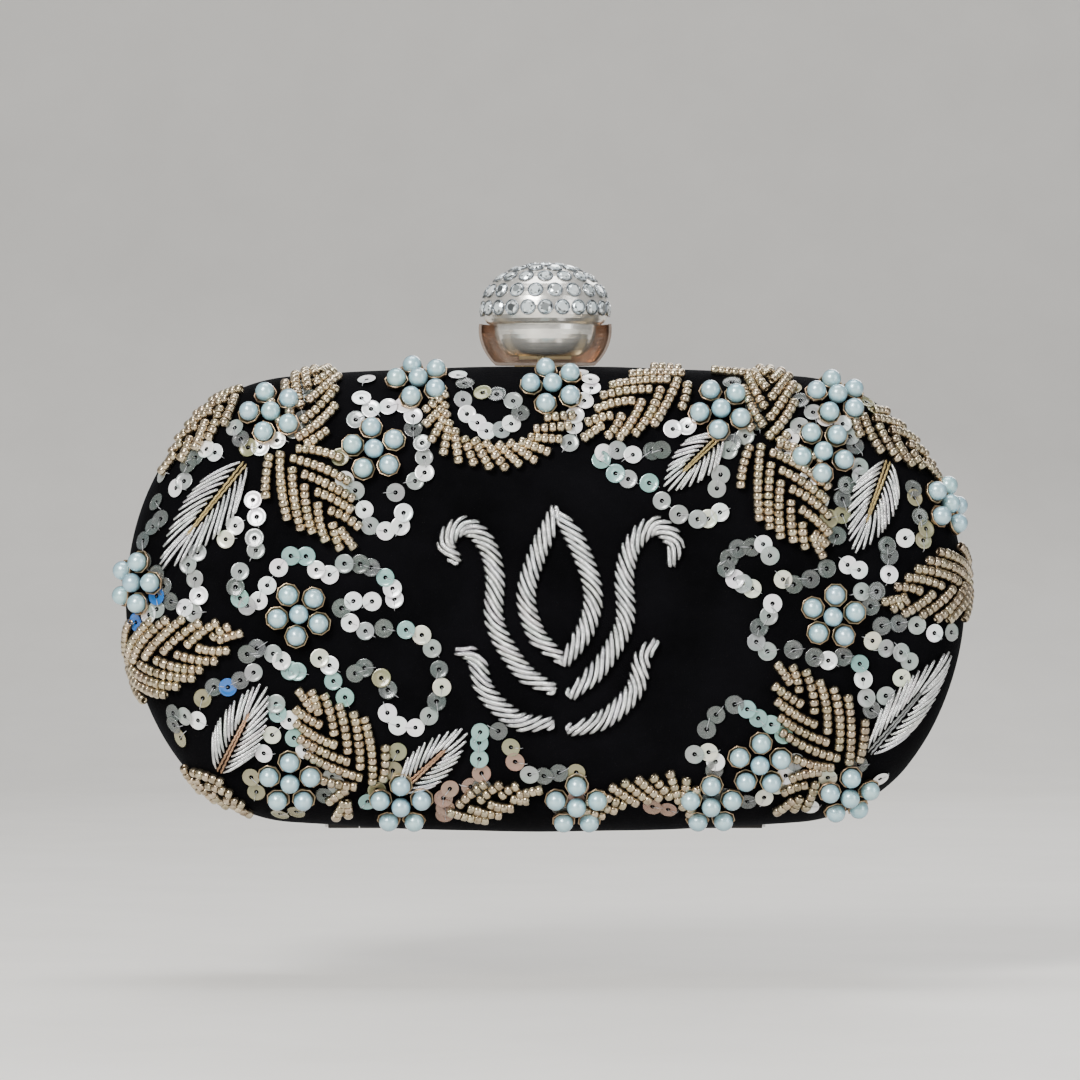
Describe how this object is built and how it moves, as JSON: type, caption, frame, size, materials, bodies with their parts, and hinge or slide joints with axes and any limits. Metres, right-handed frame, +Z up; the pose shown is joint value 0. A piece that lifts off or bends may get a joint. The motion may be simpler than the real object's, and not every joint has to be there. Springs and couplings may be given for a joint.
{
  "type": "evening bag",
  "caption": "Oval hard-case evening bag in black velvet with pearl, bead and bullion-wire embroidery, opened by a crystal ball clasp on its bottom hinges",
  "frame": {"origin": "middle of the bag's footprint, on the surface that it stands on", "axes": "+X runs along the bag's width, +Y points from the embroidered front to the back, +Z is up, from the hinges to the ball clasp"},
  "size_m": [0.1815, 0.0578, 0.1199],
  "materials": {
    "velvet": "black velvet with a short, dense pile",
    "wadding": "pale needle-felt wadding",
    "moulded_shell": "injection-moulded, matt",
    "satin": "old-gold satin over card",
    "gilt_frame": "pressed and gilt, satin polish",
    "gilt_fittings": "gilt, satin polish",
    "steel_pin": "drawn wire",
    "rose_gilt": "rose-gold plate, mirror polish",
    "polished_nickel": "warm silver plate, mirror polish",
    "crystal": "faceted and foiled",
    "pearl": "pearl lacquer, bluish white"
  },
  "bodies": {
    "rear": {"rear_cover": "velvet", "rear_padding": "wadding", "rear_shell": "moulded_shell", "rear_lining": "satin", "rear_frame": "gilt_frame", "rear_hinge_leaf_left": "gilt_fittings", "rear_hinge_leaf_right": "gilt_fittings", "rear_hinge_rivets": "gilt_fittings", "hinge_pin_left": "steel_pin", "hinge_pin_right": "steel_pin", "cup_post": "gilt_fittings", "clasp_cup": "rose_gilt", "cup_rivets": "gilt_fittings", "chain_lug_left": "gilt_fittings", "chain_lug_right": "gilt_fittings", "rear_pearls": "pearl"},
    "front": {"front_cover": "velvet", "front_padding": "wadding", "front_shell": "moulded_shell", "front_lining": "satin", "front_frame": "gilt_frame", "front_hinge_leaf_left": "gilt_fittings", "front_hinge_leaf_right": "gilt_fittings", "front_hinge_rivets": "gilt_fittings", "clasp_base": "gilt_fittings", "clasp_base_rivets": "gilt_fittings", "clasp_pivot": "steel_pin", "front_pearls": "pearl"},
    "clasp_knob": {"clasp_tongue": "gilt_fittings", "clasp_bowl": "polished_nickel", "clasp_cap": "polished_nickel", "crystals": "crystal"}
  },
  "joints": [
    {"name": "lid_hinge", "type": "hinge", "parent": "rear", "child": "front", "pos_m": [0, 0, 0.0014], "axis": [1, 0, 0], "range_deg": [0, 90]},
    {"name": "knob_rock", "type": "hinge", "parent": "front", "child": "clasp_knob", "pos_m": [0, -0.0021, 0.09794], "axis": [0, 1, 0], "range_deg": [-3, 3], "stiffness_Nm_per_rad": 0.2}
  ]
}
